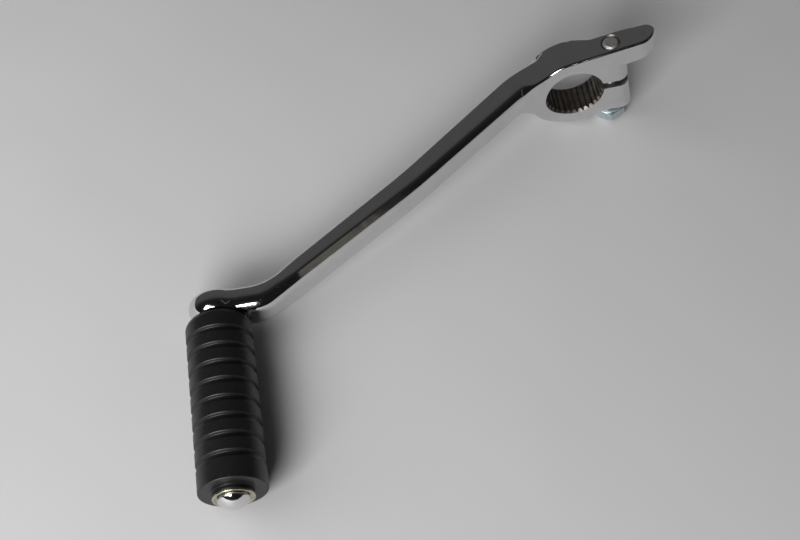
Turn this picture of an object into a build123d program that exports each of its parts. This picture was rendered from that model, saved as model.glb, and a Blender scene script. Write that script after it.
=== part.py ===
from build123d import *
import os
from math import atan2, cos, degrees, radians, sin, tan

# Kick start lever: a cranked forging with a split serrated hub, a pinch bolt and a fixed rubber pedal.
# Origin at the middle of the serrated bore. Y runs along the bore, inboard positive; the arm goes to -X.
# All sizes are millimetres, all angles degrees.

# Hub and its serrated bore
hub_radius = 18.0
hub_depth = 13.2
hub_back_bevel = 0.8
spline_tip_radius = 11.2
spline_tooth_height = 0.9
spline_teeth = 30
spline_land_share = 0.42
spline_floor_share = 0.2
bore_chamfer = 0.5

# Bar over the hub, which ends in the nose
bar_depth = 10.4
bar_swell = 2.6
swell_start = -0.5
swell_end = 6.0
swell_round = 6.0
nose_slope = 17.0
nose_reach = 30.2
nose_thickness = 9.6
nose_root_thickness = 11.6
nose_round = 5.0

# Clamp ears, slit and bolt line
clamp_lean = 7.0
bolt_distance = 15.7
ear_reach = 24.2
ear_top_reach = 21.8
ear_step = 2.8
ear_round = 4.6
ear_blend = 3.0
slit_width = 2.2
slit_lift = 0.9
spot_face_radius = 6.2

# Cranked arm, from the hub to the eye
arm_slope = 4.54
arm_rise = 5.3
arm_height_hub = 15.4
arm_height_eye = 16.8
arm_width_hub = 11.0
arm_width_eye = 8.0
crank_start = 17.5
crank_end = 131.6
crank_bow = 2.3
crank_radius_front = 39.2
crank_radius_back = 42.0
crank_radius_middle = 260.0
crank_radius_eye = 18.0
root_blend_top = 20.0
root_blend_bottom = 9.0
edge_break = 1.2
sharp_angle = 10.0

# Eye and pedal line
eye_distance = 151.3
eye_radius = 10.0
eye_thickness = 8.5
eye_outset = 79.4
eye_blend = 8.0

# Pedal spindle with its riveted tenon and domed head
shank_radius = 5.0
tenon_radius = 4.2
rivet_spread = 1.0
rivet_depth = 1.2
head_radius = 5.7
head_rim = 0.7
head_height = 3.4
head_crown_radius = 3.6
head_crown_drop = 0.9

# Pedal rubber
rubber_radius = 12.25
rubber_length = 68.6
shoulder_step = 1.75
shoulder_length = 4.6
groove_count = 8
groove_pitch = 7.05
first_band = 9.0
groove_width = 1.9
groove_depth = 1.0
neck_radius = 7.3
neck_length = 1.5

# Bought hardware: quarter-inch hexagon bolt, spring washer and retaining washer
bolt_radius = 3.175
bolt_head_flats = 11.5
bolt_head_height = 4.4
bolt_head_turn = 6.0
bolt_head_bevel = 0.5
bolt_end_proud = 0.3
bolt_end_chamfer = 0.6
thread_mouth = 0.8
spring_washer_radius = 5.7
spring_washer_thickness = 1.0
spring_washer_gap = 1.2
spring_washer_skew = 20.0
washer_radius = 7.5
washer_thickness = 1.0

# Clearances
thread_clearance = 0.04
bolt_clearance = 0.1
tenon_clearance = 0.02
rubber_clearance = 0.03
washer_clearance = 0.15

# Places worked out from the sizes above
hub_front = -hub_depth / 2
bar_middle = hub_front + bar_depth / 2
eye_middle = -eye_outset - eye_thickness / 2
eye_front = -eye_outset - eye_thickness
eye_height = arm_rise - eye_distance * tan(radians(arm_slope))
rubber_end = eye_front - rubber_length
neck_end = rubber_end - neck_length
washer_end = neck_end - washer_thickness
ear_drop = hub_radius - ear_step
head_seat = -ear_drop - spring_washer_thickness
far_away = 3 * eye_distance
pedal_line = Axis((-eye_distance, 0, eye_height), (0, 1, 0))


def unit(angle):
    return Vector(cos(radians(angle)), sin(radians(angle)))


# Where two flat lines cross, each given by a point and an angle
def crossing(point, angle, other, other_angle):
    square = unit(other_angle + 90)
    return point + unit(angle) * ((other - point).dot(square) / unit(angle).dot(square))


def nearest_corner(shape, point):
    return shape.vertices().sort_by_distance(point)[0]


# Edges where two faces meet at a real corner
def sharp_edges(body):
    faces_at = {}
    for face in body.faces():
        for edge in face.edges():
            faces_at.setdefault(edge, []).append(face)
    corners = []
    for edge, faces in faces_at.items():
        normals = [face.normal_at(edge @ 0.5) for face in faces]
        if len(normals) == 2 and normals[0].get_angle(normals[1]) > sharp_angle:
            corners.append(edge)
    return corners


# Plane square to the bolt at a height above the slit, centred on the bolt, with X out along the slit
def bolt_plane(height):
    out = Vector(cos(radians(clamp_lean)), 0, sin(radians(clamp_lean)))
    up = Vector(-sin(radians(clamp_lean)), 0, cos(radians(clamp_lean)))
    return Plane(Vector(0, bar_middle, 0) + out * bolt_distance + up * height, x_dir=out, z_dir=up)


# Solid turned about the pedal line from points of radius and Y
def turned(*points):
    half = Plane(pedal_line.position) * make_face(Polyline(*points, close=True))
    return revolve(half, pedal_line)


def nose_corners():
    lift = unit(90 + nose_slope)
    tip = nose_reach / cos(radians(nose_slope)) + hub_radius * tan(radians(nose_slope))
    start = lift * hub_radius
    end = start + unit(nose_slope) * tip
    end_fall = unit(clamp_lean + 90) * (nose_thickness / cos(radians(nose_slope - clamp_lean)))
    return [start, end, end - end_fall, start - lift * nose_root_thickness]


def ear_corners():
    high = hub_radius - nose_thickness / 2
    corners = [(0, -ear_drop), (ear_reach, -ear_drop), (ear_top_reach, high), (0, high)]
    return [unit(clamp_lean) * out + unit(clamp_lean + 90) * up for out, up in corners]


# Hub, ears, nose, arm and eye as seen along the bore
def side_profile():
    ear = ear_corners()
    arm = Polyline(
        (0, arm_rise + arm_height_hub / 2),
        (0, arm_rise - arm_height_hub / 2),
        (-eye_distance, eye_height - arm_height_eye / 2),
        (-eye_distance, eye_height + arm_height_eye / 2),
        close=True,
    )
    profile = Circle(hub_radius) + make_face(Polyline(*nose_corners(), close=True))
    profile += make_face(Polyline(*ear, close=True))
    profile += make_face(arm) + Pos(-eye_distance, eye_height) * Circle(eye_radius)
    root_fall = hub_radius * tan(radians(arm_slope))
    ear_start = ear[0] + unit(clamp_lean) * (hub_radius**2 - ear_drop**2) ** 0.5
    blends = [(ear_start, ear_blend)]
    for side, root_blend in ((1, root_blend_top), (-1, root_blend_bottom)):
        blends.append(((-hub_radius, arm_rise - root_fall + side * arm_height_hub / 2), root_blend))
        blends.append(((eye_radius / 2 - eye_distance, eye_height + side * arm_height_eye / 2), eye_blend))
    for place, radius in blends:
        profile = fillet(nearest_corner(profile, place), radius)
    return profile


# Crank of the bar, arm and eye as seen from above
def plan_profile():
    first = Vector(-crank_start, bar_middle)
    last = Vector(-crank_end, eye_middle)
    run = last - first
    square = Vector(-run.Y, run.X).normalized()
    middle = (first + last) / 2 + square * crank_bow
    bar_back = hub_front + bar_depth
    swell_back = bar_back + bar_swell
    past_nose = nose_reach + nose_thickness
    back = [Vector(past_nose, bar_back), Vector(swell_end, bar_back), Vector(swell_start, swell_back)]
    back_radii = [swell_round, swell_round, crank_radius_back]
    front = [Vector(past_nose, hub_front)]
    edges = []
    for side, route, radii in ((1, back, back_radii), (-1, front, [crank_radius_front])):
        hub_line = Vector(0, route[-1].Y)
        eye_line = Vector(0, eye_middle + side * eye_thickness / 2)
        start = first - square * (side * arm_width_hub / 2)
        bend = middle - square * (side * (arm_width_hub + arm_width_eye) / 4)
        end = last - square * (side * arm_width_eye / 2)
        first_angle = degrees(atan2(bend.Y - start.Y, bend.X - start.X))
        last_angle = degrees(atan2(end.Y - bend.Y, end.X - bend.X))
        route += [
            crossing(hub_line, 0, bend, first_angle),
            bend,
            crossing(eye_line, 0, bend, last_angle),
            Vector(-eye_distance - 2 * eye_radius, eye_line.Y),
        ]
        arm_radii = [crank_radius_middle, crank_radius_eye + side * eye_thickness / 2]
        edges.append(FilletPolyline(*route, radius=radii + arm_radii))
    ends = [Line(edges[0] @ place, edges[1] @ place) for place in (0, 1)]
    return make_face(edges + ends)


# The raw forging: side and plan profiles crossed, the ends rounded in plan, then the long edges broken
def forging():
    side = extrude(Plane.XZ * side_profile(), far_away, both=True)
    body = side & extrude(plan_profile(), far_away, both=True)
    nose_middle = (nose_corners()[1] + nose_corners()[2]) / 2
    ear_middle = (ear_corners()[1] + ear_corners()[2]) / 2
    for middle, end_round in ((nose_middle, nose_round), (ear_middle, ear_round)):
        end_face = body.faces().sort_by_distance((middle.X, bar_middle, middle.Y))[0]
        body = fillet(end_face.edges() - end_face.edges().filter_by(Axis.Y), end_round)
    arm_edges = [edge for edge in sharp_edges(body) if (edge @ 0.5).X < -hub_radius]
    body = chamfer(arm_edges, edge_break)
    boss = extrude(Plane.XZ * Circle(hub_radius), -hub_depth / 2)
    boss = chamfer(boss.faces().sort_by(Axis.Y)[-1].edges(), hub_back_bevel)
    return body + boss


# Bore with straight-sided serrations between round lands, opened a little at both mouths
def splined_bore():
    pitch = 360 / spline_teeth
    floor_radius = spline_tip_radius + spline_tooth_height
    mouth = unit(pitch * (1 - spline_land_share) / 2) * spline_tip_radius
    floor = unit(pitch * spline_floor_share / 2) * floor_radius
    groove = Polyline((0, 0), (mouth.X, -mouth.Y), (floor.X, -floor.Y), floor, mouth, close=True)
    outline = Circle(spline_tip_radius)
    for tooth in range(spline_teeth):
        outline += Rot(0, 0, (tooth + 0.5) * pitch) * make_face(groove)
    bore = extrude(Plane.XZ * outline, hub_depth, both=True)
    for side in (1, -1):
        lead = Cone(spline_tip_radius, spline_tip_radius + bore_chamfer, bore_chamfer)
        bore += Pos(0, side * (hub_depth - bore_chamfer) / 2, 0) * Rot(-90 * side, 0, 0) * lead
    return bore


# Height of the top face on the bolt line, above the slit
def thread_top():
    lift = unit(90 + nose_slope)
    run = unit(clamp_lean) * bolt_distance
    return (hub_radius - run.dot(lift)) / unit(clamp_lean + 90).dot(lift)


def lever_arm():
    slit = Pos(nose_reach / 2, slit_lift) * Rectangle(nose_reach, slit_width)
    slit = Plane.XZ * Rot(0, 0, clamp_lean) * slit
    thread = bolt_plane(0) * Cylinder(bolt_radius + thread_clearance, 4 * hub_radius)
    clear = bolt_plane(-hub_radius) * Cylinder(bolt_radius + bolt_clearance, 2 * hub_radius)
    seat = extrude(bolt_plane(-ear_drop) * Circle(spot_face_radius), -hub_radius)
    mouth_cone = Cone(bolt_radius - thread_mouth, bolt_radius + 3 * thread_mouth, 4 * thread_mouth)
    mouth = bolt_plane(thread_top()) * Rot(0, clamp_lean - nose_slope, 0) * mouth_cone
    body = forging() - splined_bore() - extrude(slit, hub_depth, both=True)
    body = body - thread - clear - seat - mouth
    return body - turned(*tenon_corners(tenon_clearance), (0, eye_front))


# Corners of the tenon, flared by riveting at the back of the eye
def tenon_corners(clearance):
    radius = tenon_radius + clearance
    flare = (radius + rivet_spread, -eye_outset)
    return [(0, -eye_outset), flare, (radius, -eye_outset - rivet_depth), (radius, eye_front)]


def pedal_spindle():
    rim = (head_radius, washer_end - head_rim)
    tip = washer_end - head_height
    shank = [(shank_radius, eye_front), (shank_radius, washer_end)]
    crown = [(head_crown_radius, tip + head_crown_drop), (0, tip)]
    return turned(*tenon_corners(0), *shank, (head_radius, washer_end), rim, *crown)


def pedal_rubber():
    hole = shank_radius + rubber_clearance
    floor = rubber_radius - groove_depth
    outline = [(rubber_radius, eye_front - shoulder_length)]
    for groove in range(groove_count):
        middle = eye_front - first_band - groove * groove_pitch
        first = middle + groove_width / 2
        last = middle - groove_width / 2
        outline += [(rubber_radius, first), (floor, first), (floor, last), (rubber_radius, last)]
    outline += [
        (rubber_radius, rubber_end),
        (neck_radius, rubber_end),
        (neck_radius, neck_end),
        (hole, neck_end),
        (hole, eye_front),
        (rubber_radius - shoulder_step, eye_front),
    ]
    return turned(*outline)


def retaining_washer():
    hole = shank_radius + washer_clearance
    outer = [(washer_radius, neck_end), (washer_radius, washer_end)]
    return turned((hole, neck_end), *outer, (hole, washer_end))


def pinch_bolt():
    top = thread_top() + bolt_end_proud
    corner = bolt_head_flats / 2 / cos(radians(30))
    hexagon = RegularPolygon(corner, 6, rotation=30 - bolt_head_turn)
    head = extrude(bolt_plane(head_seat) * hexagon, -bolt_head_height)
    bevel = extrude(bolt_plane(head_seat) * Circle(corner), -bolt_head_height)
    bevel = chamfer(bevel.edges().sort_by(Axis.Z)[0], bolt_head_bevel)
    shank = extrude(bolt_plane(head_seat) * Circle(bolt_radius), top - head_seat)
    shank = chamfer(shank.edges().sort_by(Axis.Z)[-1], bolt_end_chamfer)
    return (head & bevel) + shank


def spring_washer():
    flat = Circle(spring_washer_radius) - Circle(bolt_radius + bolt_clearance)
    ring = extrude(bolt_plane(head_seat) * flat, spring_washer_thickness)
    cut = Pos(spring_washer_radius, 0, 0) * Rot(spring_washer_skew, 0, 0)
    cut *= Box(2 * spring_washer_radius, spring_washer_gap, 4 * spring_washer_thickness)
    return ring - bolt_plane(head_seat + spring_washer_thickness / 2) * cut


pieces = [lever_arm, pinch_bolt, spring_washer, pedal_spindle, pedal_rubber, retaining_washer]
os.makedirs("parts", exist_ok=True)
for piece in pieces:
    export_step(piece(), f"parts/{piece.__name__}.step")
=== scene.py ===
from math import ceil, cos, pi, radians, sin, tan

import bmesh
import bpy
import numpy as np
from mathutils import Matrix, Vector


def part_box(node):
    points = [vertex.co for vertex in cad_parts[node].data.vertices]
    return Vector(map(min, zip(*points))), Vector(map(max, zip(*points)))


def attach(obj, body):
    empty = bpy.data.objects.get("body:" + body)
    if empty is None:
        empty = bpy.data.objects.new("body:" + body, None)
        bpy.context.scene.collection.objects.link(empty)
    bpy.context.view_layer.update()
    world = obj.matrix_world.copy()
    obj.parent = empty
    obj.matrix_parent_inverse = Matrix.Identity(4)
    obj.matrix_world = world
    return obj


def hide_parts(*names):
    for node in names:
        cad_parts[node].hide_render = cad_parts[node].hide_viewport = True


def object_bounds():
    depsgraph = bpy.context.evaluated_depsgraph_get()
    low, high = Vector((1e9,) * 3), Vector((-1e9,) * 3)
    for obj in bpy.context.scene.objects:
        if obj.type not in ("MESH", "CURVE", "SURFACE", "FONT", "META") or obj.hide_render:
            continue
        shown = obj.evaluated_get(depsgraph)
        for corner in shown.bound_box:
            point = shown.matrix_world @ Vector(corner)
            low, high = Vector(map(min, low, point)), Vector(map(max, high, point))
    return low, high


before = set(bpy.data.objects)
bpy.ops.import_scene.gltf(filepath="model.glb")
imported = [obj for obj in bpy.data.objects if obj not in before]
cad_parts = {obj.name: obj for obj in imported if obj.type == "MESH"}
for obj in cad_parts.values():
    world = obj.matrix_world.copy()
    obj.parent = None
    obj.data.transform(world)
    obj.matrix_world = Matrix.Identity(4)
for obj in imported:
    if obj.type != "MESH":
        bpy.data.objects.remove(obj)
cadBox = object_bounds()
mm = 0.001
print("frame loaded:", ", ".join(sorted(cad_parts)))


class Wire:  # one socket of a node tree, so that sums read as plain Python
    def __init__(self, graph, socket):
        self.graph = graph
        self.socket = socket

    def sum(self, operation, first, second):
        return self.graph.node("Math", {"operation": operation}, {0: first, 1: second})

    def __add__(self, other):
        return self.sum("ADD", self, other)

    def __radd__(self, other):
        return self.sum("ADD", other, self)

    def __sub__(self, other):
        return self.sum("SUBTRACT", self, other)

    def __rsub__(self, other):
        return self.sum("SUBTRACT", other, self)

    def __mul__(self, other):
        return self.sum("MULTIPLY", self, other)

    def __rmul__(self, other):
        return self.sum("MULTIPLY", other, self)


class Graph:  # a node tree that is written line by line
    def __init__(self, owner):
        owner.use_nodes = True
        self.tree = owner.node_tree
        self.tree.nodes.clear()

    def node(self, kind, settings=None, inputs=None, output=0):
        made = self.tree.nodes.new("ShaderNode" + kind)
        for name, value in (settings or {}).items():
            if name == "stops":
                fillRamp(made.color_ramp, value)
            else:
                setattr(made, name, value)
        for key, value in (inputs or {}).items():
            if isinstance(value, Wire):
                self.tree.links.new(value.socket, made.inputs[key])
            else:
                made.inputs[key].default_value = value
        return Wire(self, made.outputs[output]) if made.outputs else None

    def place(self, stretch=(1, 1, 1)):  # the piece's own coordinates, in metres
        own = self.node("TexCoord", output="Object")
        return self.node("Mapping", {}, {"Vector": own, "Scale": stretch})

    def noise(self, size, detail=4.0, stretch=(1, 1, 1), rough=0.5):
        settings = {"noise_dimensions": "3D"}
        sockets = {"Vector": self.place(stretch), "Scale": 1 / size, "Detail": detail, "Roughness": rough}
        return self.node("TexNoise", settings, sockets)

    def ramp(self, value, stops):
        return self.node("ValToRGB", {"stops": stops}, {"Fac": value})

    def range(self, value, low, high, first=0.0, last=1.0):
        sockets = {"Value": value, 1: low, 2: high, 3: first, 4: last}
        return self.node("MapRange", {"clamp": True}, sockets)

    def tint(self, factor, first, second):
        return self.node("Mix", {"data_type": "RGBA"}, {0: factor, 6: first, 7: second}, 2)

    def bump(self, height, depth, strength=1.0, under=None):
        sockets = {"Height": height, "Distance": depth, "Strength": strength}
        if under:
            sockets["Normal"] = under
        return self.node("Bump", {}, sockets)

    def surface(self, **sockets):
        names = {name.replace("_", " "): value for name, value in sockets.items()}
        shader = self.node("BsdfPrincipled", {}, names)
        self.node("OutputMaterial", {}, {"Surface": shader})


def fillRamp(ramp, stops):
    while len(ramp.elements) < len(stops):
        ramp.elements.new(1.0)
    for element, (place, colour) in zip(ramp.elements, stops):
        element.position = place
        element.color = colour


def grey(level):
    return (level, level, level, 1.0)


def makeFinish(name, write):  # a material from the function that writes its nodes
    finish = bpy.data.materials.new(name)
    write(Graph(finish))
    return finish


def chromePlate(graph):
    sway = graph.noise(14 * mm, 2.0)
    lines = graph.noise(0.5 * mm, 3.0, (0.12, 0.22, 1))
    pits = graph.range(graph.noise(0.8 * mm, 1.0), 0.72, 0.78)
    haze = graph.range(graph.noise(9 * mm, 5.0), 0.35, 0.75)
    colour = graph.tint(haze * 0.35 + pits * 0.5, (0.72, 0.72, 0.73, 1), (0.58, 0.58, 0.585, 1))
    soft = graph.bump(sway, 0.25 * mm, 0.35)
    fine = graph.bump(lines, 0.01 * mm, 0.25, soft)
    graph.surface(
        Base_Color=colour,
        Metallic=1.0,
        Roughness=0.05 + haze * 0.05 + lines * 0.04 + pits * 0.2,
        Normal=fine,
    )


def boreSteel(graph):
    stain = graph.noise(3 * mm, 5.0)
    grain = graph.noise(0.35 * mm, 3.0, (1, 0.1, 1))
    colour = graph.ramp(stain, [(0.3, (0.09, 0.078, 0.068, 1)), (0.7, (0.2, 0.18, 0.162, 1))])
    graph.surface(
        Base_Color=colour,
        Metallic=0.9,
        Roughness=0.34 + stain * 0.2,
        Normal=graph.bump(grain, 0.02 * mm, 0.5),
    )


def zincPlate(graph):
    cloud = graph.noise(2.2 * mm, 4.0)
    grain = graph.noise(0.25 * mm, 2.0)
    colour = graph.ramp(cloud, [(0.3, (0.46, 0.55, 0.57, 1)), (0.7, (0.62, 0.71, 0.72, 1))])
    graph.surface(
        Base_Color=colour,
        Metallic=1.0,
        Roughness=0.3 + cloud * 0.16,
        Normal=graph.bump(grain, 0.01 * mm, 0.4),
    )


def cutSteel(graph):
    cloud = graph.noise(1.5 * mm, 4.0)
    scratches = graph.noise(0.2 * mm, 3.0, (1, 0.15, 1))
    colour = graph.ramp(cloud, [(0.3, (0.4, 0.395, 0.39, 1)), (0.7, (0.56, 0.555, 0.55, 1))])
    graph.surface(
        Base_Color=colour,
        Metallic=0.85,
        Roughness=0.4 + cloud * 0.16,
        Normal=graph.bump(scratches, 0.015 * mm, 0.5),
    )


def yellowPlate(graph):
    cloud = graph.noise(3 * mm, 4.0)
    grain = graph.noise(0.3 * mm, 2.0)
    colour = graph.ramp(cloud, [(0.3, (0.4, 0.385, 0.29, 1)), (0.7, (0.54, 0.53, 0.43, 1))])
    graph.surface(
        Base_Color=colour,
        Metallic=1.0,
        Roughness=0.2 + cloud * 0.14,
        Normal=graph.bump(grain, 0.01 * mm, 0.3),
    )


def mouldedRubber(graph):
    bloom = graph.noise(11 * mm, 5.0)
    dust = graph.range(graph.noise(1.6 * mm, 6.0, rough=0.65), 0.55, 0.75)
    grain = graph.noise(0.28 * mm, 3.0)
    colour = graph.tint(dust * 0.35 + bloom * 0.2, (0.005, 0.005, 0.0052, 1), (0.018, 0.018, 0.0185, 1))
    graph.surface(
        Base_Color=colour,
        Roughness=0.34 + bloom * 0.12 + dust * 0.1,
        Normal=graph.bump(grain, 0.02 * mm, 0.45),
        Specular_IOR_Level=0.5,
    )


def paleTable(graph):
    cloud = graph.noise(60 * mm, 4.0)
    grain = graph.noise(1.2 * mm, 3.0)
    colour = graph.tint(cloud, (0.60, 0.595, 0.6, 1), (0.64, 0.635, 0.64, 1))
    graph.surface(
        Base_Color=colour,
        Roughness=0.62,
        Normal=graph.bump(grain, 0.02 * mm, 0.2),
    )


chrome = makeFinish("chromePlate", chromePlate)
bareSteel = makeFinish("boreSteel", boreSteel)
zinc = makeFinish("zincPlate", zincPlate)
boltEnd = makeFinish("cutSteel", cutSteel)
yellow = makeFinish("yellowPlate", yellowPlate)
rubber = makeFinish("mouldedRubber", mouldedRubber)
table = makeFinish("paleTable", paleTable)
print("finishes made")


def addPiece(name, body, node, finishes, sharp=40, even=True):  # a mesh in place of a CAD node
    mesh = bpy.data.meshes.new(name)
    bmesh.ops.recalc_face_normals(body, faces=body.faces)
    for face in body.faces:
        face.smooth = True
    body.to_mesh(mesh)
    body.free()
    mesh.set_sharp_from_angle(angle=radians(sharp))
    piece = bpy.data.objects.new(name, mesh)
    bpy.context.scene.collection.objects.link(piece)
    for finish in finishes:
        mesh.materials.append(finish)
    if even:
        piece.modifiers.new("even", "WEIGHTED_NORMAL").keep_sharp = True
    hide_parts(node)
    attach(piece, "root")
    print("made", name, len(mesh.polygons), "faces")
    return piece


def softCorners(points, steps=4, most=0.49, straight=0.01):  # each point is radius, y and corner round
    out = []
    count = len(points)
    for index, (x, y, turn) in enumerate(points):
        here = Vector((x, y))
        back = Vector(points[index - 1][:2]) - here
        ahead = Vector(points[(index + 1) % count][:2]) - here
        bend = back.angle(ahead, pi)
        if turn <= 0 or bend > pi - straight:
            out.append(here)
            continue
        reach = min(turn / tan(bend / 2), back.length * most, ahead.length * most)
        start = here + back.normalized() * reach
        end = here + ahead.normalized() * reach
        for step in range(steps + 1):
            t = step / steps
            out.append(start * (1 - t) ** 2 + here * (2 * t * (1 - t)) + end * t**2)
    return out


def lathe(points, middle, segments=128):  # closed outline of radius and y, turned about a line along y
    body = bmesh.new()
    rings = []
    for radius, y in points:
        if radius < 1e-7:  # on the line itself
            rings.append([body.verts.new((middle.x, y, middle.z))])
            continue
        ring = []
        for step in range(segments):
            angle = 2 * pi * step / segments
            x, z = middle.x + radius * sin(angle), middle.z + radius * cos(angle)
            ring.append(body.verts.new((x, y, z)))
        rings.append(ring)
    for first, second in zip(rings, rings[1:] + rings[:1]):
        if len(first) == 1 and len(second) == 1:
            continue
        for step in range(segments):
            after = (step + 1) % segments
            corners = [first[step % len(first)], second[step % len(second)]]
            if len(second) > 1:
                corners.append(second[after])
            if len(first) > 1:
                corners.append(first[after])
            body.faces.new(corners)
    return body


bolt = {  # hexagon head with a bevelled face, plain shank and a cut thread
    "lean": 7.0, "distance": 15.7 * mm, "depth": -1.4 * mm, "radius": 3.175 * mm, "top": 21.35 * mm,
    "flats": 11.5 * mm, "turn": 6, "seat": -16.2 * mm, "headHeight": 4.4 * mm, "headSegments": 144,
    "bevelRise": 0.8 * mm, "bevelSlope": 30, "bevelSteps": 10, "seatEdge": 0.25 * mm,
    "faceShare": 0.96, "seatShare": 0.97, "cornerShare": 0.995,
    "pitch": 1.27 * mm, "thread": 0.62 * mm, "threadLength": 24 * mm, "threadRows": 10, "threadSegments": 48,
    "threadLead": 0.8 * mm, "flank": 2.6, "crest": 0.3, "sink": 0.2 * mm, "endBevel": 0.6 * mm,
    "mouth": 0.8 * mm, "mouthDrop": 0.3 * mm, "sharp": 25,
}
lean = radians(bolt["lean"])
boltFrame = Matrix.Translation((bolt["distance"] * cos(lean), bolt["depth"], bolt["distance"] * sin(lean)))
boltFrame = boltFrame @ Matrix.Rotation(-lean, 4, "Y")

forging = {  # in millimetres; the edges roll wide on the arm and tight on the hub
    "hub": 18.0, "front": -6.6, "back": 6.6, "backRound": 0.8, "barBack": 3.8, "waistBack": -1.5,
    "swell": [(18.0, 3.8, 40), (6.0, 3.8, 6), (-0.5, 6.4, 5), (-12.0, 6.4, 2.5), (-15.0, 3.2, 3)],
    "noseSlope": 17.0, "noseReach": 30.2, "noseThickness": 9.6, "noseRoot": 11.6, "noseTaper": 0.11,
    "noseBack": 3.6, "noseFront": 7.0, "overrun": 20,
    "lean": 7.0, "earReach": 24.2, "earTopReach": 21.8, "earDrop": 15.2, "earRound": 4.6, "earBlend": 2.5,
    "slit": 2.2, "slitLift": 0.9, "slitFrom": 4, "upperLip": 1.5, "lowerLip": 0.5,
    "armSlope": 4.54, "armRise": 5.3, "armHub": 15.4, "armEye": 16.8, "widthHub": 11.0, "widthEye": 8.0,
    "rootTop": 20.0, "rootBottom": 9.0, "rootFront": 39.2, "rootBack": 50.0,
    "crankStart": 17.5, "crankEnd": 131.6, "crankBow": 2.3, "bowRound": 260.0,
    "eyeDistance": 151.3, "eyeRadius": 10.4, "eyeMiddle": -83.65, "eyeBack": -79.1, "eyeFront": -89.4,
    "eyeBlend": 7.0, "eyeFrontBend": 13.75, "eyeBackBend": 22.25,
    "hubEdge": 1.2, "armEdge": 4.4, "eyeEdge": 6.2, "backEdge": 1.6, "eyeBackEdge": 3.4,
    "armEase": (17, 24), "eyeEase": (119, 138),
    "boreTip": 11.2, "boreTooth": 0.9, "teeth": 30, "land": 0.42, "floor": 0.2, "boreLead": 0.95, "leadReach": 6,
    "boltHole": 3.215, "boltSeat": 6.2, "toolReach": 40, "toolSegments": 96, "leadSegments": 180,
    "tenon": 4.22, "flare": 1.0, "flareDepth": 1.2, "tenonReach": 0.5,
    "step": 0.5, "coarse": 5, "margin": 1.6, "weld": 0.001, "sharp": 35,
    "skin": 0.12, "skinFacing": 0.8, "shadeFacing": 0.75, "bareSlitFrom": 8, "bareFrom": -50,
}


def turnTo(angle):
    return np.array([cos(radians(angle)), sin(radians(angle))])


class Outline:  # run of lines and arcs, inside to the left, that knows its distance from any point
    slack, turnSlack = 1e-6, 1e-9  # neighbours overlap by this much

    def __init__(self):
        self.lines = []
        self.arcs = []

    def line(self, first, last):
        self.lines.append((np.array(first), np.array(last)))

    def arc(self, middle, radius, first, last):  # positive radius turns left, negative turns right
        middle, first, last = (np.array(place) for place in (middle, first, last))
        angles = [np.arctan2(*(place - middle)[::-1]) for place in (first, last)]
        if radius < 0:
            angles.reverse()
        self.arcs.append((middle, radius, angles[0], (angles[1] - angles[0]) % (2 * pi)))

    def run(self, points):  # x, y and corner radius of each corner, the two ends left as they are
        here = np.array(points[0][:2])
        for before, corner, after in zip(points, points[1:], points[2:]):
            place, radius = np.array(corner[:2]), corner[2]
            back, ahead = np.array(before[:2]) - place, np.array(after[:2]) - place
            back, ahead = back / np.hypot(*back), ahead / np.hypot(*ahead)
            half = np.arccos(np.clip(back @ ahead, -1, 1)) / 2
            reach = radius / np.tan(half)
            left = back[0] * ahead[1] - back[1] * ahead[0] < 0
            middle = place + (back + ahead) / np.hypot(*(back + ahead)) * radius / np.sin(half)
            self.line(here, place + back * reach)
            here = place + ahead * reach
            self.arc(middle, radius if left else -radius, place + back * reach, here)
        self.line(here, np.array(points[-1][:2]))

    def distance(self, x, y):
        best = np.full(x.shape, 1e9)
        for first, last in self.lines:
            run = last - first
            length = np.hypot(*run)
            run = run / length
            along = (x - first[0]) * run[0] + (y - first[1]) * run[1]
            off = (x - first[0]) * run[1] - (y - first[1]) * run[0]
            near = (along > -self.slack) & (along < length + self.slack) & (abs(off) < abs(best))
            best = np.where(near, off, best)
        for middle, radius, start, sweep in self.arcs:
            dx, dy = x - middle[0], y - middle[1]
            turn = (np.arctan2(dy, dx) - start + self.turnSlack) % (2 * pi)
            off = (np.hypot(dx, dy) - abs(radius)) * np.sign(radius)
            near = (turn < sweep + 2 * self.turnSlack) & (abs(off) < abs(best))
            best = np.where(near, off, best)
        return best


def rollOff(first, second, radius):  # what both hold, with the edge between them rounded
    roll = np.hypot(np.maximum(first + radius, 0), np.maximum(second + radius, 0))
    return np.minimum(np.maximum(first, second), -radius) + roll


def fillIn(first, second, radius):  # what either holds, with the corner between them filled
    roll = np.hypot(np.maximum(radius - first, 0), np.maximum(radius - second, 0))
    return np.maximum(np.minimum(first, second), radius) - roll


def halfPlane(x, y, point, out):
    return (x - point[0]) * out[0] + (y - point[1]) * out[1]


def eased(value, low, high):
    share = np.clip((value - low) / (high - low), 0, 1)
    return share * share * (3 - 2 * share)


def lineCrossing(point, run, other, otherRun):
    square = np.array([-otherRun[1], otherRun[0]])
    return point + run * ((other - point) @ square / (run @ square))


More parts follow.
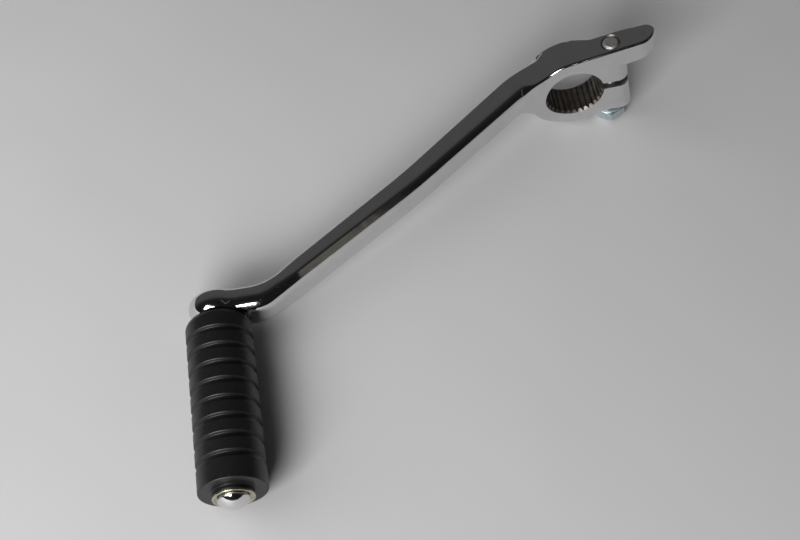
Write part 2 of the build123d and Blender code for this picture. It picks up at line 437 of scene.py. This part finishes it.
def armOutline(f):  # hub, arm and eye as seen along the bore
    side = Outline()
    eye = np.array([-f["eyeDistance"], f["armRise"] - f["eyeDistance"] * tan(radians(f["armSlope"]))])
    contacts = []
    for up, root in ((1, f["rootTop"]), (-1, f["rootBottom"])):
        hubEnd = np.array([0, f["armRise"] + up * f["armHub"] / 2])
        eyeEnd = eye + np.array([0, up * f["armEye"] / 2])
        run = (eyeEnd - hubEnd) / np.hypot(*(eyeEnd - hubEnd))
        out = np.array([run[1], -run[0]])
        out = out if out[1] * up > 0 else -out
        rolls = []
        ends = ((np.zeros(2), f["hub"], root, 1), (eye, f["eyeRadius"], f["eyeBlend"], -1))
        for middle, radius, blend, way in ends:
            base = hubEnd + out * blend - middle
            along = -(base @ run) + way * np.sqrt((base @ run) ** 2 - base @ base + (radius + blend) ** 2)
            centre = hubEnd + out * blend + run * along
            onCircle = middle + (centre - middle) * radius / (radius + blend)
            rolls.append({"centre": centre, "blend": blend, "line": centre - out * blend, "circle": onCircle})
        contacts.append(rolls)
    (topHub, topEye), (lowHub, lowEye) = contacts
    side.arc((0, 0), f["hub"], lowHub["circle"], topHub["circle"])
    side.arc(topHub["centre"], -topHub["blend"], topHub["circle"], topHub["line"])
    side.line(topHub["line"], topEye["line"])
    side.arc(topEye["centre"], -topEye["blend"], topEye["line"], topEye["circle"])
    side.arc(eye, f["eyeRadius"], topEye["circle"], lowEye["circle"])
    side.arc(lowEye["centre"], -lowEye["blend"], lowEye["circle"], lowEye["line"])
    side.line(lowEye["line"], lowHub["line"])
    side.arc(lowHub["centre"], -lowHub["blend"], lowHub["line"], lowHub["circle"])
    return side


def crankSide(f, way):  # back or front of bar, arm and eye, as seen from above
    first = np.array([-f["crankStart"], (f["front"] + f["barBack"]) / 2])
    last = np.array([-f["crankEnd"], f["eyeMiddle"]])
    run = (last - first) / np.hypot(*(last - first))
    square = np.array([-run[1], run[0]])
    middle = (first + last) / 2 + square * f["crankBow"]
    far, past = -f["eyeDistance"] - 3 * f["eyeRadius"], f["noseReach"] + f["overrun"]
    points = [(past, f["front"])]
    hubY, eyeY, hubTurn, eyeTurn = f["front"], f["eyeFront"], f["rootFront"], f["eyeFrontBend"]
    if way > 0:
        narrow = f["noseTaper"] * (past - f["swell"][0][0])  # the back draws in a little towards the nose
        points = [(past, f["barBack"] - narrow), *f["swell"]]
        hubY, eyeY, hubTurn, eyeTurn = f["waistBack"], f["eyeBack"], f["rootBack"], f["eyeBackBend"]
    start = first - square * (way * f["widthHub"] / 2)
    bend = middle - square * (way * (f["widthHub"] + f["widthEye"]) / 4)
    end = last - square * (way * f["widthEye"] / 2)
    along = np.array([1.0, 0.0])
    hubCorner = lineCrossing(np.array([0, hubY]), along, bend, bend - start)
    eyeCorner = lineCrossing(np.array([0, eyeY]), along, bend, end - bend)
    points += [(*hubCorner, hubTurn), (*bend, f["bowRound"]), (*eyeCorner, eyeTurn), (far, eyeY)]
    side = Outline()
    side.run(points if way > 0 else points[::-1])
    return side


armSide, crankBack, crankFront = armOutline(forging), crankSide(forging, 1), crankSide(forging, -1)


def leverDistance(places):  # below zero inside the forging
    f = forging
    x, y, z = places.T
    behind, before = crankBack.distance(x, y), crankFront.distance(x, y)
    plan = np.maximum(behind, before)
    lift, lean, out = turnTo(90 + f["noseSlope"]), turnTo(90 + f["lean"]), turnTo(f["lean"])
    reach = x * out[0] + z * out[1]
    rise = x * lean[0] + z * lean[1]
    edges = []
    for arm, eye in ((f["backEdge"], f["eyeBackEdge"]), (f["armEdge"], f["eyeEdge"])):
        edge = f["hubEdge"] + (arm - f["hubEdge"]) * eased(-x, *f["armEase"])
        edges.append(edge + (eye - arm) * eased(-x, *f["eyeEase"]))
    backEdge, frontEdge = edges
    shortEar = np.maximum(-rise - f["earDrop"], rise)  # lets the lower ear flow into the hub
    shortEar = np.maximum(shortEar, np.maximum(-reach, reach - f["earReach"] + f["earRound"]))
    body = rollOff(fillIn(armSide.distance(x, z), shortEar, f["earBlend"]), before, frontEdge)
    body = rollOff(body, behind, backEdge)
    high = f["hub"] - f["noseThickness"] / 2
    endRun = np.array([f["earTopReach"] - f["earReach"], high + f["earDrop"]])
    endOut = np.array([endRun[1], -endRun[0]]) / np.hypot(*endRun)
    earEnd = halfPlane(reach, rise, (f["earReach"], -f["earDrop"]), endOut)
    ear = np.maximum(np.maximum(-rise - f["earDrop"], rise - high), -reach)  # both ears as one block
    body = np.minimum(body, rollOff(ear, rollOff(plan, earEnd, f["earRound"]), f["hubEdge"]))
    top = lift * f["hub"]
    tip = np.array([f["noseReach"], top[1] + (f["noseReach"] - top[0]) * tan(radians(f["noseSlope"]))])
    low = tip - lean * f["noseThickness"] / cos(radians(f["noseSlope"] - f["lean"]))
    under = low - (top - lift * f["noseRoot"])
    underOut = np.array([under[1], -under[0]]) / np.hypot(*under)
    nose = np.maximum(halfPlane(x, z, top, lift), halfPlane(x, z, low, underOut))  # bar that runs past the hub
    nose = np.maximum(nose, halfPlane(x, z, top, -turnTo(f["noseSlope"])))
    noseEnd = halfPlane(x, z, tip, out)
    noseBack = rollOff(behind, noseEnd, f["noseBack"])
    noseFront = rollOff(before, noseEnd, f["noseFront"])
    body = np.minimum(body, rollOff(nose, np.maximum(noseBack, noseFront), f["hubEdge"]))
    boss = rollOff(np.hypot(x, z) - f["hub"], np.maximum(y - f["back"], -y), f["backRound"])
    body = np.minimum(body, boss)
    upper = rollOff(body, f["slitLift"] + f["slit"] / 2 - rise, f["upperLip"])
    lower = rollOff(body, rise - f["slitLift"] + f["slit"] / 2, f["lowerLip"])
    return np.minimum(np.minimum(upper, lower), np.maximum(body, reach - f["slitFrom"]))


def steepness(places, nudge=0.01):  # how fast the distance grows along x, y and z
    ways = np.eye(3) * nudge
    rises = [leverDistance(places + way) - leverDistance(places - way) for way in ways]
    return np.stack(rises, 1) / (2 * nudge)


def slopeAt(places):  # outward normal of the form
    slope = steepness(places)
    return slope / np.maximum(np.sqrt((slope**2).sum(1)), 1e-9)[:, None]


def nearBlocks(low, count, step, coarse):  # distance at each block's middle, for all the points in it
    blocks = [np.arange(0, n, coarse) for n in count]
    grid = np.stack(np.meshgrid(*blocks, indexing="ij"), -1).reshape(-1, 3)
    far = leverDistance(low + (grid + coarse / 2) * step).reshape([len(b) for b in blocks])
    for axis, n in enumerate(count):
        far = np.repeat(far, coarse, axis)
        far = np.take(far, range(n), axis)
    return far


def netSurface(low, high, step, coarse):  # one point in each crossed cell, then drawn onto the surface
    slack, batch, passes, flattest = 1.1, 400000, 4, 0.2
    count = np.ceil((high - low) / step).astype(int) + 1
    value = nearBlocks(low, count, step, coarse)
    near = np.argwhere(abs(value) < coarse * step * slack)
    for part in np.array_split(near, 1 + len(near) // batch):
        value[tuple(part.T)] = leverDistance(low + part * step)
    inside = value < 0
    spots = [(a, b, c) for a in (0, 1) for b in (0, 1) for c in (0, 1)]
    cells = count - 1
    held = sum(inside[a:a + cells[0], b:b + cells[1], c:c + cells[2]].astype(int) for a, b, c in spots)
    crossed = np.argwhere((held > 0) & (held < 8))
    number = np.full(cells, -1)
    number[tuple(crossed.T)] = np.arange(len(crossed))
    total, hits = np.zeros((len(crossed), 3)), np.zeros(len(crossed))
    for spot in spots:
        for axis in range(3):
            if spot[axis]:
                continue
            other = np.array(spot)
            other[axis] = 1
            first, last = value[tuple((crossed + spot).T)], value[tuple((crossed + other).T)]
            cut = (first < 0) != (last < 0)
            share = np.where(cut, first / np.where(cut, first - last, 1), 0)
            place = np.array(spot) + np.outer(share, np.eye(3)[axis])
            total += place * cut[:, None]
            hits += cut
    points = low + (crossed + total / hits[:, None]) * step
    faces = []
    for axis in range(3):
        one, two = (axis + 1) % 3, (axis + 2) % 3
        ahead = np.roll(inside, -1, axis)
        edges = np.argwhere(inside != ahead)
        edges = edges[(edges[:, axis] < cells[axis]) & (edges[:, one] > 0) & (edges[:, two] > 0)]
        edges = edges[(edges[:, one] < cells[one]) & (edges[:, two] < cells[two])]
        ring = []
        for back in ((1, 1), (0, 1), (0, 0), (1, 0)):
            corner = edges.copy()
            corner[:, one] -= back[0]
            corner[:, two] -= back[1]
            ring.append(number[tuple(corner.T)])
        quads = np.stack(ring, 1)
        outward = inside[tuple(edges.T)]
        faces.append(np.where(outward[:, None], quads, quads[:, ::-1]))
    for _ in range(passes):
        off, slope = leverDistance(points), steepness(points)
        points = points - slope * (off / np.maximum((slope**2).sum(1), flattest))[:, None]
    return points, np.concatenate(faces)


def cutter(body):  # a hidden piece that is taken away from another
    mesh = bpy.data.meshes.new("cutter")
    bmesh.ops.recalc_face_normals(body, faces=body.faces)
    body.to_mesh(mesh)
    body.free()
    tool = bpy.data.objects.new("cutter", mesh)
    bpy.context.scene.collection.objects.link(tool)
    return tool


def prism(points, low, high):  # outline of x and z, drawn out along y
    body = bmesh.new()
    rows = [[body.verts.new((x, y, z)) for x, z in points] for y in (low, high)]
    body.faces.new(rows[0])
    body.faces.new(rows[1])
    for index in range(len(points)):
        after = (index + 1) % len(points)
        body.faces.new([rows[0][index], rows[0][after], rows[1][after], rows[1][index]])
    return body


def serrations(f):  # outline of the bore and its teeth
    points = []
    pitch = 360 / f["teeth"]
    for tooth in range(f["teeth"]):
        middle = (tooth + 0.5) * pitch
        mouth, floor = pitch * (1 - f["land"]) / 2, pitch * f["floor"] / 2
        for turn, radius in ((-mouth, 0), (-floor, 1), (floor, 1), (mouth, 0)):
            points.append(turnTo(middle + turn) * (f["boreTip"] + f["boreTooth"] * radius) * mm)
        for step in (1, 2):
            points.append(turnTo(middle + mouth + pitch * f["land"] * step / 3) * f["boreTip"] * mm)
    return points


def markBare(body, f):  # bore, slit and bolt holes keep the bare steel
    body.normal_update()
    middles = np.array([face.calc_center_median() for face in body.faces]) / mm
    normals = np.array([face.normal for face in body.faces])
    off = leverDistance(middles)
    facing = (slopeAt(middles) * normals).sum(1)
    lean, out = turnTo(90 + f["lean"]), turnTo(f["lean"])
    rise = middles[:, 0] * lean[0] + middles[:, 2] * lean[1] - f["slitLift"]
    reach = middles[:, 0] * out[0] + middles[:, 2] * out[1]
    skin = (abs(off) < f["skin"]) & (facing > f["skinFacing"])
    slit = (abs(rise) < (f["slit"] + f["skin"]) / 2) & (reach > f["bareSlitFrom"])
    for face, bare in zip(body.faces, (~skin | slit) & (middles[:, 0] > f["bareFrom"])):
        face.material_index = int(bare)


def shadeForging(mesh, f):  # normals of the skin come from its own form, so that reflections run true
    places, normals = np.zeros(len(mesh.vertices) * 3), np.zeros(len(mesh.polygons) * 3)
    middles, counts = np.zeros(len(mesh.polygons) * 3), np.zeros(len(mesh.polygons), int)
    corners = np.zeros(len(mesh.loops), int)
    mesh.vertices.foreach_get("co", places)
    mesh.polygons.foreach_get("center", middles)
    mesh.polygons.foreach_get("normal", normals)
    mesh.polygons.foreach_get("loop_total", counts)
    mesh.loops.foreach_get("vertex_index", corners)
    owner = np.repeat(np.arange(len(counts)), counts)
    own = slopeAt(places.reshape(-1, 3) / mm)[corners]
    agree = (own * normals.reshape(-1, 3)[owner]).sum(1)
    least = np.full(len(counts), 1.0)
    np.minimum.at(least, owner, agree)
    off = leverDistance(middles.reshape(-1, 3) / mm)
    skin = (abs(off) < f["skin"]) & (least > f["shadeFacing"])
    mesh.normals_split_custom_set(np.where(skin[owner][:, None], own, 0).tolist())


def boltTool(radius, low, high, topRadius=None):  # round tool along the bolt
    rows = [(0, low), (radius, low), (topRadius or radius, high), (0, high)]
    body = lathe([(r * mm, h * mm) for r, h in rows], Vector((0, 0, 0)), forging["toolSegments"])
    upright = Matrix.Rotation(radians(90), 4, "X")
    bmesh.ops.transform(body, matrix=boltFrame @ upright, verts=body.verts)
    return body


def mouthTool():  # opens the thread square to the bar's top
    radius, mouth = bolt["radius"] / mm, bolt["mouth"] / mm
    body = boltTool(radius - mouth, 0, 4 * mouth, radius + 3 * mouth)
    middle = boltFrame @ Vector((0, 0, 2 * bolt["mouth"]))
    top = boltFrame @ Vector((0, 0, bolt["top"] - bolt["mouthDrop"]))
    tip = Matrix.Rotation(radians(bolt["lean"] - forging["noseSlope"]), 4, "Y")
    drop = Matrix.Translation(top) @ tip @ Matrix.Translation(-middle)
    bmesh.ops.transform(body, matrix=drop, verts=body.verts)
    return body


def tenonTool(f):  # hole through the eye, flared at the back for the rivet
    radius, depth = f["tenon"], f["flareDepth"]
    back, front = f["eyeBack"] + f["tenonReach"], f["eyeFront"] - f["tenonReach"]
    mouth = radius + (f["tenonReach"] + depth) * f["flare"] / depth
    rows = [(0, back), (mouth, back), (radius, f["eyeBack"] - depth), (radius, front), (0, front)]
    low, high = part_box("pedal_rubber")
    return lathe([(r * mm, y * mm) for r, y in rows], (low + high) / 2, f["toolSegments"])


def makeForging():
    f = forging
    low, high = (np.array(corner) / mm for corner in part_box("lever_arm"))
    points, faces = netSurface(low - f["margin"], high + f["margin"], f["step"], f["coarse"])
    print("forging net:", len(points), "points")
    mesh = bpy.data.meshes.new("lever_arm_chrome")
    mesh.from_pydata((points * mm).tolist(), [], faces.tolist())
    piece = bpy.data.objects.new("lever_arm_chrome", mesh)
    bpy.context.scene.collection.objects.link(piece)
    back, lead, tip = f["back"], f["boreLead"], f["boreTip"]
    tools = [prism(serrations(f), -2 * back * mm, 2 * back * mm)]
    start, top = back - 2 * lead, back + f["leadReach"]  # the top clears the arm's root, which stands further out
    rows = [(tip - lead, start), (tip + lead, back), (tip + lead, top), (0, top), (0, start)]
    for way in (1, -1):
        turned = [(r * mm, way * y * mm) for r, y in rows]
        tools.append(lathe(turned, Vector((0, 0, 0)), f["leadSegments"]))
    tools.append(boltTool(f["boltHole"], -f["toolReach"], f["toolReach"]))
    tools.append(boltTool(f["boltSeat"], -f["toolReach"], -f["earDrop"]))
    tools += [mouthTool(), tenonTool(f)]
    for tool in [cutter(body) for body in tools]:
        cut = piece.modifiers.new("cut", "BOOLEAN")
        cut.operation = "DIFFERENCE"
        cut.solver = "EXACT"
        cut.object = tool
        whole = piece.evaluated_get(bpy.context.evaluated_depsgraph_get())
        carved = bpy.data.meshes.new_from_object(whole)
        piece.modifiers.clear()
        piece.data = carved
        bpy.data.objects.remove(tool)
    body = bmesh.new()
    body.from_mesh(piece.data)
    bpy.data.objects.remove(piece)
    bmesh.ops.remove_doubles(body, verts=body.verts, dist=f["weld"] * mm)
    markBare(body, f)
    finishes = [chrome, bareSteel]
    piece = addPiece("lever_arm_chrome", body, "lever_arm", finishes, f["sharp"], even=False)
    shadeForging(piece.data, f)


makeForging()

low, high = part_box("pedal_rubber")
pedalMiddle = (low + high) / 2
sleeve = {  # rounded grooves, a soft shoulder and a neck
    "radius": 12.25 * mm, "hole": 5.03 * mm, "outer": low.y,
    "inner": high.y - 1.5 * mm,  # seats on the eye, which is thicker here than in the CAD
    "neckRadius": 7.3 * mm, "neckLength": 1.5 * mm, "shoulderStep": 1.5 * mm, "shoulderLength": 3.0 * mm,
    "shoulderRound": 0.4 * mm, "shoulderSteps": 6, "grooves": 8, "firstGroove": 8.45 * mm, "pitch": 7.05 * mm,
    "mouth": 2.5 * mm, "floor": 1.4 * mm, "depth": 1.05 * mm, "lip": 0.5 * mm, "rim": 0.5 * mm,
    "corner": 0.3 * mm, "segments": 160, "sharp": 60,
}


def makeSleeve():
    s = sleeve
    end = s["outer"] + s["neckLength"]
    points = [(s["hole"], s["inner"], 0), (s["radius"] - s["shoulderStep"], s["inner"], s["shoulderRound"])]
    for step in range(1, s["shoulderSteps"] + 1):
        t = step / s["shoulderSteps"]
        drop = s["shoulderStep"] * (1 - t) ** 2
        points.append((s["radius"] - drop, s["inner"] - s["shoulderLength"] * t, 0))
    for groove in range(s["grooves"]):
        middle = s["inner"] - s["firstGroove"] - groove * s["pitch"]
        points += [
            (s["radius"], middle + s["mouth"] / 2, s["lip"]),
            (s["radius"] - s["depth"], middle + s["floor"] / 2, s["corner"]),
            (s["radius"] - s["depth"], middle - s["floor"] / 2, s["corner"]),
            (s["radius"], middle - s["mouth"] / 2, s["lip"]),
        ]
    points += [
        (s["radius"], end, s["rim"]),
        (s["neckRadius"], end, s["corner"]),
        (s["neckRadius"], s["outer"], s["corner"]),
        (s["hole"], s["outer"], 0),
    ]
    body = lathe(softCorners(points), pedalMiddle, s["segments"])
    addPiece("pedal_rubber_sleeve", body, "pedal_rubber", [rubber], s["sharp"])


makeSleeve()

low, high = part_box("retaining_washer")
ring = {  # plate between the rubber and the head, with a raised rim
    "radius": 7.5 * mm, "hole": 5.15 * mm, "inner": high.y, "outer": low.y, "round": 0.32 * mm, "rim": 0.9 * mm,
    "recess": 0.4 * mm, "recessRadius": 6.33 * mm, "recessRound": 0.15 * mm, "edge": 0.1 * mm,
}


def makeRing():
    r = ring
    floor = r["outer"] + r["recess"]
    points = [
        (r["hole"], r["inner"], r["edge"]),
        (r["radius"], r["inner"], r["round"]),
        (r["radius"], r["outer"], r["round"]),
        (r["radius"] - r["rim"], r["outer"], r["round"]),
        (r["recessRadius"], floor, r["recessRound"]),
        (r["hole"], floor, r["edge"]),
    ]
    body = lathe(softCorners(points), pedalMiddle)
    addPiece("retaining_ring", body, "retaining_washer", [yellow])


makeRing()

low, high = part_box("pedal_spindle")
spindle = {  # shank, riveted end behind the eye and a slightly pointed dome
    "back": high.y, "tip": low.y, "seat": low.y + 3.4 * mm, "headRadius": 5.7 * mm, "rim": 0.7 * mm,
    "rimRound": 0.3 * mm, "edge": 0.15 * mm, "point": 2.2, "domeSteps": 24, "shank": 5.0 * mm,
    "eyeFront": forging["eyeFront"] * mm, "tenon": 4.2 * mm, "spread": 1.0 * mm, "rivetDepth": 1.2 * mm,
    "dish": 0.12 * mm, "dishRound": 0.6 * mm, "dishShare": 0.6, "sharp": 50,
}


def makeSpindle():
    s = spindle
    points = [
        (0, s["back"] - s["dish"], 0),
        (s["tenon"] * s["dishShare"], s["back"], s["dishRound"]),
        (s["tenon"] + s["spread"], s["back"], s["edge"]),
        (s["tenon"], s["back"] - s["rivetDepth"], 0),
        (s["tenon"], s["eyeFront"], 0),
        (s["shank"], s["eyeFront"], 0),
        (s["shank"], s["seat"], 0),
        (s["headRadius"], s["seat"], s["edge"]),
        (s["headRadius"], s["seat"] - s["rim"], s["rimRound"]),
    ]
    rise = s["seat"] - s["rim"] - s["tip"]
    for step in range(1, s["domeSteps"] + 1):
        share = 1 - step / s["domeSteps"]
        points.append((s["headRadius"] * share, s["tip"] + rise * share ** s["point"], 0))
    body = lathe(softCorners(points), pedalMiddle)
    addPiece("spindle_pin", body, "pedal_spindle", [chrome], s["sharp"])


makeSpindle()


def joinRings(body, rings):  # walls from ring to ring, and a face at each end
    count = len(rings[0])
    for first, second in zip(rings, rings[1:]):
        for step in range(count):
            after = (step + 1) % count
            body.faces.new([first[step], first[after], second[after], second[step]])
    body.faces.new(list(reversed(rings[0])))
    body.faces.new(rings[-1])


def turnedGrid(levels, segments, reach):  # stacked rings whose radius depends on angle and level
    body = bmesh.new()
    rings = []
    for index, level in enumerate(levels):
        ring = []
        for step in range(segments):
            angle = 2 * pi * step / segments
            radius = reach(index, level, angle)
            ring.append(body.verts.new((radius * cos(angle), radius * sin(angle), level)))
        rings.append(ring)
    joinRings(body, rings)
    return body


def makeBolt():
    b = bolt
    half = b["flats"] / 2
    corner = half / cos(radians(30))
    bottom = b["seat"] - b["headHeight"]
    levels = [bottom + b["bevelRise"] * step / b["bevelSteps"] for step in range(b["bevelSteps"] + 1)]
    levels += [b["seat"] - b["seatEdge"], b["seat"]]
    last = len(levels) - 1

    def hexagon(index, level, angle):
        turn = (angle - radians(30 - b["turn"])) % (pi / 3) - pi / 6
        flat = half / cos(turn)
        cone = half * b["faceShare"] + (level - bottom) / tan(radians(b["bevelSlope"]))
        if index == last:
            return half * b["seatShare"]
        return min(flat, cone, corner * b["cornerShare"])

    head = turnedGrid(levels, b["headSegments"], hexagon)
    start = b["top"] - b["threadLength"]
    count = ceil(b["threadLength"] / b["pitch"] * b["threadRows"])
    steps = [b["seat"] - b["sink"], start - b["threadLead"]]  # the plain shank, before the thread's rows
    steps += [start + (b["top"] - start) * row / count for row in range(count + 1)]

    def thread(index, level, angle):
        if index < 2:
            return b["radius"]
        share = (level / b["pitch"] - angle / (2 * pi)) % 1.0
        depth = max(0.0, min(1.0, abs(share - 0.5) * b["flank"] - b["crest"])) * b["thread"]
        runOut = min(1.0, (level - start) / b["pitch"])
        end = b["radius"] - max(0.0, level - (b["top"] - b["endBevel"]))
        return min(b["radius"] - depth * runOut, end)

    shank = turnedGrid(steps, b["threadSegments"], thread)
    shape = bpy.data.meshes.new("shankShape")
    shank.to_mesh(shape)
    shank.free()
    head.from_mesh(shape)
    bpy.data.meshes.remove(shape)
    for face in head.faces:
        face.material_index = int(face.calc_center_median().z > b["top"] - 2 * b["pitch"])  # cut end shows bare
    bmesh.ops.transform(head, matrix=boltFrame, verts=head.verts)
    addPiece("pinch_bolt_threaded", head, "pinch_bolt", [zinc, boltEnd], b["sharp"])


makeBolt()

spring = {  # split ring under the bolt's head
    "inner": 3.3 * mm, "outer": 5.7 * mm, "low": -16.2 * mm, "high": -15.2 * mm, "round": 0.15 * mm,
    "gap": 1.2 * mm, "skew": 20, "segments": 96,
}


def makeSpring():
    s = spring
    outline = softCorners([
        (s["inner"], s["low"], s["round"]),
        (s["outer"], s["low"], s["round"]),
        (s["outer"], s["high"], s["round"]),
        (s["inner"], s["high"], s["round"]),
    ], steps=3)
    body = bmesh.new()
    rings = []
    for step in range(s["segments"] + 1):
        ring = []
        for radius, level in outline:
            slant = (level - (s["low"] + s["high"]) / 2) * tan(radians(s["skew"]))
            first = (s["gap"] / 2 - slant) / radius
            last = 2 * pi - (s["gap"] / 2 + slant) / radius
            angle = first + (last - first) * step / s["segments"]
            ring.append(body.verts.new((radius * cos(angle), radius * sin(angle), level)))
        rings.append(ring)
    joinRings(body, rings)
    bmesh.ops.transform(body, matrix=boltFrame, verts=body.verts)
    addPiece("spring_washer_split", body, "spring_washer", [zinc])


makeSpring()


def makeTable():  # pale top that the part lies on
    size, squares = 1.6, 8
    body = bmesh.new()
    bmesh.ops.create_grid(body, x_segments=squares, y_segments=squares, size=size)
    bmesh.ops.translate(body, vec=(0, 0, cadBox[0].z), verts=body.verts)
    mesh = bpy.data.meshes.new("table")
    body.to_mesh(mesh)
    body.free()
    top = bpy.data.objects.new("table", mesh)
    mesh.materials.append(table)
    bpy.context.scene.collection.objects.link(top)


makeTable()

lamps = {  # turn and lift in degrees, away, wide and tall in metres
    "window": {
        "turn": -32.5, "lift": 29.8, "away": 1.25, "wide": 0.76, "tall": 0.52,
        "power": 17.6, "colour": (1, 0.99, 0.98), "mirrored": True,
    },
    "fill": {
        "turn": -95, "lift": 36, "away": 0.7, "wide": 0.7, "tall": 0.7,
        "power": 2.2, "colour": (0.97, 0.98, 1), "mirrored": False,
    },
}
aim = Vector((-0.07, -0.06, 0))
for name, lamp in lamps.items():
    light = bpy.data.lights.new(name, "AREA")
    light.shape = "RECTANGLE"
    light.size = lamp["wide"]
    light.size_y = lamp["tall"]
    light.energy = lamp["power"]
    light.color = lamp["colour"]
    holder = bpy.data.objects.new(name, light)
    turn, lift = radians(lamp["turn"]), radians(lamp["lift"])
    direction = Vector((sin(turn) * cos(lift), -cos(turn) * cos(lift), sin(lift)))
    holder.location = aim + direction * lamp["away"]
    holder.visible_glossy = lamp["mirrored"]
    holder.rotation_euler = (-direction).to_track_quat("-Z", "Y").to_euler()
    bpy.context.scene.collection.objects.link(holder)

card = {  # grey card in the dark room, known by its direction
    "along": (0.828, 0.557, 0.066), "toward": (0.558, 0.83), "near": (0.238, 0.25), "far": (0.305, 0.316),
    "front": (0.27, 0.32), "colour": (0.12, 0.114, 0.098, 1),
}
skyStops = [(0.35, grey(0.01)), (0.54, grey(0.022)), (0.64, grey(0.066)), (0.85, grey(0.08))]
room = bpy.data.worlds.new("room")
bpy.context.scene.world = room
graph = Graph(room)
direction = graph.node("TexCoord", output="Generated")
sides, depth, height = (graph.node("SeparateXYZ", {}, {"Vector": direction}, axis) for axis in range(3))
across = sides * card["along"][0] + depth * card["along"][1] + height * card["along"][2]
ahead = sides * card["toward"][0] - depth * card["toward"][1]
held = graph.range(across, *card["near"]) * graph.range(across, *card["far"], 1, 0)
held = held * graph.range(ahead, *card["front"])
sky = graph.tint(held, graph.ramp(depth * 0.5 + 0.5, skyStops), card["colour"])
back = graph.node("Background", {}, {"Color": sky, "Strength": 1.0})
graph.node("OutputWorld", {}, {"Surface": back})

view = {
    "place": (-0.1227, -0.3481, 0.4171), "look": (0.0807, 0.539, -0.839),
    "lens": 60.4, "sensor": 36.0, "clip": 0.01,
}
lens = bpy.data.cameras.new("camera")
lens.lens = view["lens"]
lens.sensor_width = view["sensor"]
lens.clip_start = view["clip"]
camera = bpy.data.objects.new("camera", lens)
camera.location = view["place"]
camera.rotation_euler = Vector(view["look"]).to_track_quat("-Z", "Y").to_euler()
bpy.context.scene.collection.objects.link(camera)
bpy.context.scene.camera = camera
bpy.context.scene.view_settings.view_transform = "Standard"
print("table, lamps and camera set")
